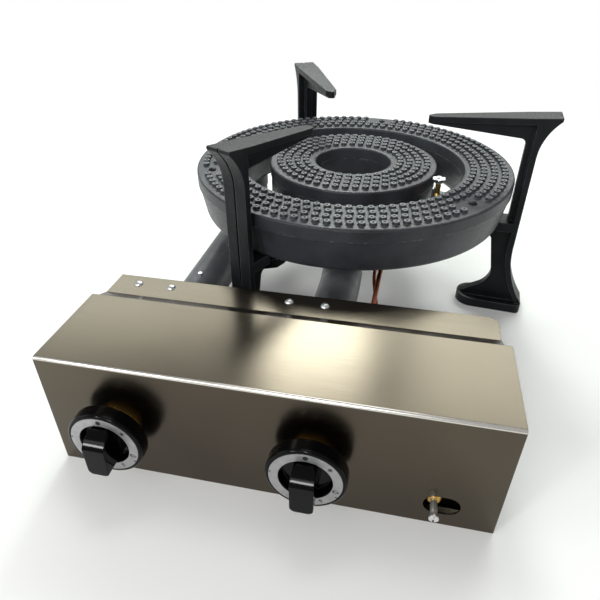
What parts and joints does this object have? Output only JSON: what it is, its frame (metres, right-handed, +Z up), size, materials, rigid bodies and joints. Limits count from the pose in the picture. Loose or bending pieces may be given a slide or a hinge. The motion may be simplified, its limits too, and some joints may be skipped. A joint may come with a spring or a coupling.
{
  "type": "paella burner",
  "caption": "Double-ring gas paella burner: studded cast rings on legs with pan arms, fed through mixing tubes from a folded control box with push-and-turn knobs and a pilot",
  "frame": {"origin": "middle of the footprint, on the floor", "axes": "+Z up, +X to the right of the control panel, +Y from the panel to the back"},
  "size_m": [0.4664, 0.6464, 0.2555],
  "materials": {
    "cast_iron": "black heat paint on a fine sand-cast surface",
    "stainless": "satin, folded sheet",
    "knob_plastic": "moulded gloss",
    "dial_aluminium": "satin, printed marks",
    "brass": "turned",
    "copper": "drawn copper tube",
    "bright_steel": "bright zinc",
    "black_steel": "black",
    "grey_steel": "plain mill grey"
  },
  "bodies": {
    "burner": {"outer_ring_cap": "cast_iron", "outer_ring_trough": "cast_iron", "inner_ring_cap": "cast_iron", "inner_ring_trough": "cast_iron", "leg_right": "cast_iron", "leg_back": "cast_iron", "leg_front_left": "cast_iron", "outer_mixing_tube": "cast_iron", "inner_mixing_tube": "cast_iron", "control_box_cover": "stainless", "control_box_base": "stainless", "pilot_tap_plate": "stainless", "outer_gland_nut": "brass", "inner_gland_nut": "brass", "outer_tap_body": "brass", "inner_tap_body": "brass", "outer_injector": "brass", "inner_injector": "brass", "pilot_tap_body": "brass", "pilot_tap_collar": "brass", "pilot_nipple": "brass", "gas_inlet_nozzle": "brass", "pilot_burner_stem": "brass", "pilot_gas_tube": "copper", "thermocouple_lead": "copper", "flange_screws": "bright_steel", "base_screws": "bright_steel", "leg_bolts": "bright_steel", "leg_washers": "bright_steel", "leg_nuts": "bright_steel", "pilot_crown": "bright_steel", "pilot_nuts": "bright_steel", "tube_plug_screw": "bright_steel", "thermocouple_probe": "bright_steel", "outer_cap_screws": "black_steel", "inner_cap_screws": "black_steel", "bridge_screws": "black_steel", "pilot_shelf_screw": "black_steel", "gas_manifold": "black_steel", "bridge_bar_pilot": "grey_steel", "bridge_bar_back": "grey_steel", "bridge_bar_left": "grey_steel", "pilot_shelf": "grey_steel", "outer_tube_hanger": "grey_steel", "inner_tube_hanger": "grey_steel"},
    "outer_push": {"outer_spring_seat": "bright_steel", "outer_return_spring": "bright_steel"},
    "inner_push": {"inner_spring_seat": "bright_steel", "inner_return_spring": "bright_steel"},
    "outer_knob": {"outer_knob": "knob_plastic", "outer_dial_ring": "dial_aluminium", "outer_spindle": "bright_steel"},
    "inner_knob": {"inner_knob": "knob_plastic", "inner_dial_ring": "dial_aluminium", "inner_spindle": "bright_steel"},
    "pilot_spindle": {"pilot_spindle": "bright_steel"},
    "outer_shutter": {"outer_air_shutter": "grey_steel"},
    "inner_shutter": {"inner_air_shutter": "grey_steel"}
  },
  "joints": [
    {"name": "outer_knob_push", "type": "slide", "parent": "burner", "child": "outer_push", "axis": [0, 1, 0], "range_m": [0, 0.0035], "stiffness_N_per_m": 1500, "springref_m": -0.003},
    {"name": "outer_knob_turn", "type": "hinge", "parent": "outer_push", "child": "outer_knob", "pos_m": [-0.16426, -0.2817, 0.061], "axis": [0, -1, 0], "range_deg": [0, 155]},
    {"name": "outer_shutter_turn", "type": "hinge", "parent": "burner", "child": "outer_shutter", "pos_m": [-0.16676, -0.209, 0.061], "axis": [0, -1, 0], "range_deg": [0, 60]},
    {"name": "inner_knob_push", "type": "slide", "parent": "burner", "child": "inner_push", "axis": [0, 1, 0], "range_m": [0, 0.0035], "stiffness_N_per_m": 1500, "springref_m": -0.003},
    {"name": "inner_knob_turn", "type": "hinge", "parent": "inner_push", "child": "inner_knob", "pos_m": [0.01074, -0.2817, 0.061], "axis": [0, -1, 0], "range_deg": [0, 155]},
    {"name": "inner_shutter_turn", "type": "hinge", "parent": "burner", "child": "inner_shutter", "pos_m": [-0.00426, -0.209, 0.061], "axis": [0, -1, 0], "range_deg": [0, 60]},
    {"name": "pilot_spindle_turn", "type": "hinge", "parent": "burner", "child": "pilot_spindle", "pos_m": [0.11624, -0.2817, 0.025], "axis": [0, -1, 0], "range_deg": [0, 90]}
  ]
}
